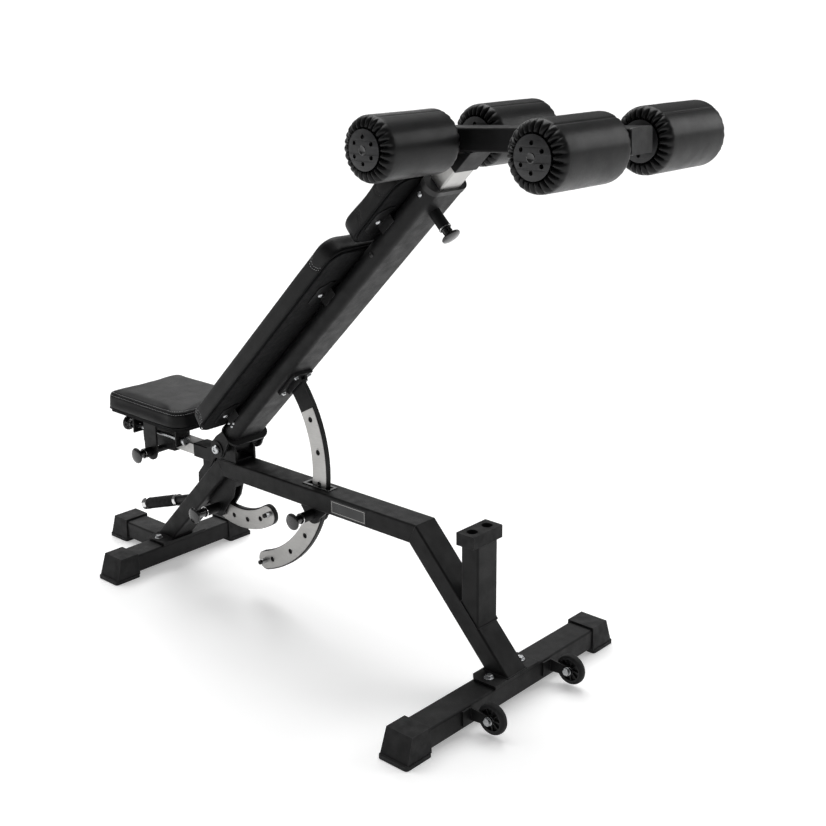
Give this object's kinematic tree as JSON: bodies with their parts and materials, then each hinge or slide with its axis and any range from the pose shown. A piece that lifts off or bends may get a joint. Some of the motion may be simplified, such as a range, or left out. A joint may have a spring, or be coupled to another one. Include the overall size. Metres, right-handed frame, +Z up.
{
  "type": "decline sit up bench",
  "caption": "Adjustable decline sit up bench: floor frame, hinged seat and backrest locked by pull pins in drilled arcs, and a sliding mast with foam leg rollers.",
  "frame": {"origin": "centre of the bench's footprint, on the floor", "axes": "+X from the seat towards the foam rollers and transport wheels, +Y across the bench, +Z up"},
  "size_m": [1.8092, 0.7566, 1.334],
  "materials": {
    "powder_coat": "fine textured black powder coat",
    "foot_rubber": "matte black moulded rubber",
    "grip_rubber": "soft matte black grip",
    "pad_cover": "black upholstery leatherette, fine grain, double stitched seams",
    "roller_cover": "black leatherette sewn over foam",
    "pad_board": "black backing board",
    "black_plastic": "satin black moulded plastic",
    "knob_plastic": "glossy black knob on a steel pin",
    "bright_steel": "brushed stainless steel",
    "zinc_bolt": "bright zinc plated bolt"
  },
  "bodies": {
    "frame": {"front_foot_tube": "powder_coat", "rear_foot_tube": "powder_coat", "foot_cap_front_left": "foot_rubber", "foot_cap_front_right": "foot_rubber", "foot_cap_rear_left": "foot_rubber", "foot_cap_rear_right": "foot_rubber", "foot_cap_tail": "foot_rubber", "main_beam": "powder_coat", "front_leg": "powder_coat", "rear_leg": "powder_coat", "bumper_post": "powder_coat", "bumper_block": "foot_rubber", "hinge_tower": "powder_coat", "back_pin_lug": "powder_coat", "seat_pin_lug": "powder_coat", "wheel_bracket_left": "powder_coat", "wheel_bracket_right": "powder_coat", "handle_tube": "powder_coat", "handle_grip": "grip_rubber", "pivot_bolt": "zinc_bolt"},
    "backrest": {"spine_tube": "powder_coat", "spine_yoke": "powder_coat", "back_arc": "powder_coat", "arc_saddle": "powder_coat", "pad_bracket_lower": "powder_coat", "pad_bracket_upper": "powder_coat", "head_bracket": "powder_coat", "back_board": "pad_board", "head_board": "pad_board", "back_pad": "pad_cover", "head_pad": "pad_cover", "spine_collar": "black_plastic"},
    "mast": {"mast_tube": "bright_steel", "roller_arm": "powder_coat", "arm_cap_rear": "black_plastic", "arm_cap_front": "black_plastic", "axle_rear": "powder_coat", "axle_front": "powder_coat"},
    "seat": {"seat_arm": "powder_coat", "seat_rail": "bright_steel", "seat_arc": "powder_coat"},
    "carriage": {"seat_carriage": "powder_coat", "seat_board": "pad_board", "seat_pad": "pad_cover"},
    "pull_rod": {"seat_pull_rod": "knob_plastic"},
    "back_pin": {"back_pin_knob": "knob_plastic"},
    "seat_pin": {"seat_pin_knob": "knob_plastic"},
    "mast_pin": {"mast_pin_knob": "knob_plastic"},
    "slide_pin": {"slide_pin_knob": "knob_plastic"},
    "left_wheel": {"wheel_left": "foot_rubber"},
    "right_wheel": {"wheel_right": "foot_rubber"},
    "roller_rear_left": {"foam_roller_rear_left": "roller_cover", "roller_hub_rear_left": "black_plastic"},
    "roller_rear_right": {"foam_roller_rear_right": "roller_cover", "roller_hub_rear_right": "black_plastic"},
    "roller_front_left": {"foam_roller_front_left": "roller_cover", "roller_hub_front_left": "black_plastic"},
    "roller_front_right": {"foam_roller_front_right": "roller_cover", "roller_hub_front_right": "black_plastic"}
  },
  "joints": [
    {"name": "backrest_tilt", "type": "hinge", "parent": "frame", "child": "backrest", "pos_m": [-0.33835, 0, 0.41], "axis": [0, -1, 0], "range_deg": [-45, 30]},
    {"name": "mast_slide", "type": "slide", "parent": "backrest", "child": "mast", "axis": [0.7071, 0, 0.7071], "range_m": [0, 0.15]},
    {"name": "seat_tilt", "type": "hinge", "parent": "frame", "child": "seat", "pos_m": [-0.33835, 0, 0.41], "axis": [0, 1, 0], "range_deg": [0, 30]},
    {"name": "seat_slide", "type": "slide", "parent": "seat", "child": "carriage", "axis": [-1, 0, 0], "range_m": [0, 0.06]},
    {"name": "back_pin_pull", "type": "slide", "parent": "frame", "child": "back_pin", "axis": [0, -1, 0], "range_m": [0, 0.016], "stiffness_N_per_m": 600, "springref_m": -0.012},
    {"name": "seat_pin_pull", "type": "slide", "parent": "frame", "child": "seat_pin", "axis": [0, -1, 0], "range_m": [0, 0.016], "stiffness_N_per_m": 600, "springref_m": -0.012},
    {"name": "mast_pin_pull", "type": "slide", "parent": "backrest", "child": "mast_pin", "axis": [0.7071, 0, -0.7071], "range_m": [0, 0.012], "stiffness_N_per_m": 600, "springref_m": -0.012},
    {"name": "slide_pin_pull", "type": "slide", "parent": "carriage", "child": "slide_pin", "axis": [0, -1, 0], "range_m": [0, 0.016], "stiffness_N_per_m": 600, "springref_m": -0.012},
    {"name": "pull_rod_slide", "type": "slide", "parent": "carriage", "child": "pull_rod", "axis": [-1, 0, 0], "range_m": [0, 0.008], "stiffness_N_per_m": 600, "springref_m": -0.012},
    {"name": "roller_spin_rear_left", "type": "hinge", "parent": "mast", "child": "roller_rear_left", "pos_m": [0.43215, 0, 1.253], "axis": [0, 1, 0], "continuous": true},
    {"name": "roller_spin_rear_right", "type": "hinge", "parent": "mast", "child": "roller_rear_right", "pos_m": [0.43215, 0, 1.253], "axis": [0, 1, 0], "continuous": true},
    {"name": "roller_spin_front_left", "type": "hinge", "parent": "mast", "child": "roller_front_left", "pos_m": [0.83865, 0, 1.268], "axis": [0, 1, 0], "continuous": true},
    {"name": "roller_spin_front_right", "type": "hinge", "parent": "mast", "child": "roller_front_right", "pos_m": [0.83865, 0, 1.268], "axis": [0, 1, 0], "continuous": true},
    {"name": "wheel_spin_left", "type": "hinge", "parent": "frame", "child": "left_wheel", "pos_m": [0.66165, 0, 0.043], "axis": [0, 1, 0], "continuous": true},
    {"name": "wheel_spin_right", "type": "hinge", "parent": "frame", "child": "right_wheel", "pos_m": [0.66165, 0, 0.043], "axis": [0, 1, 0], "continuous": true}
  ]
}
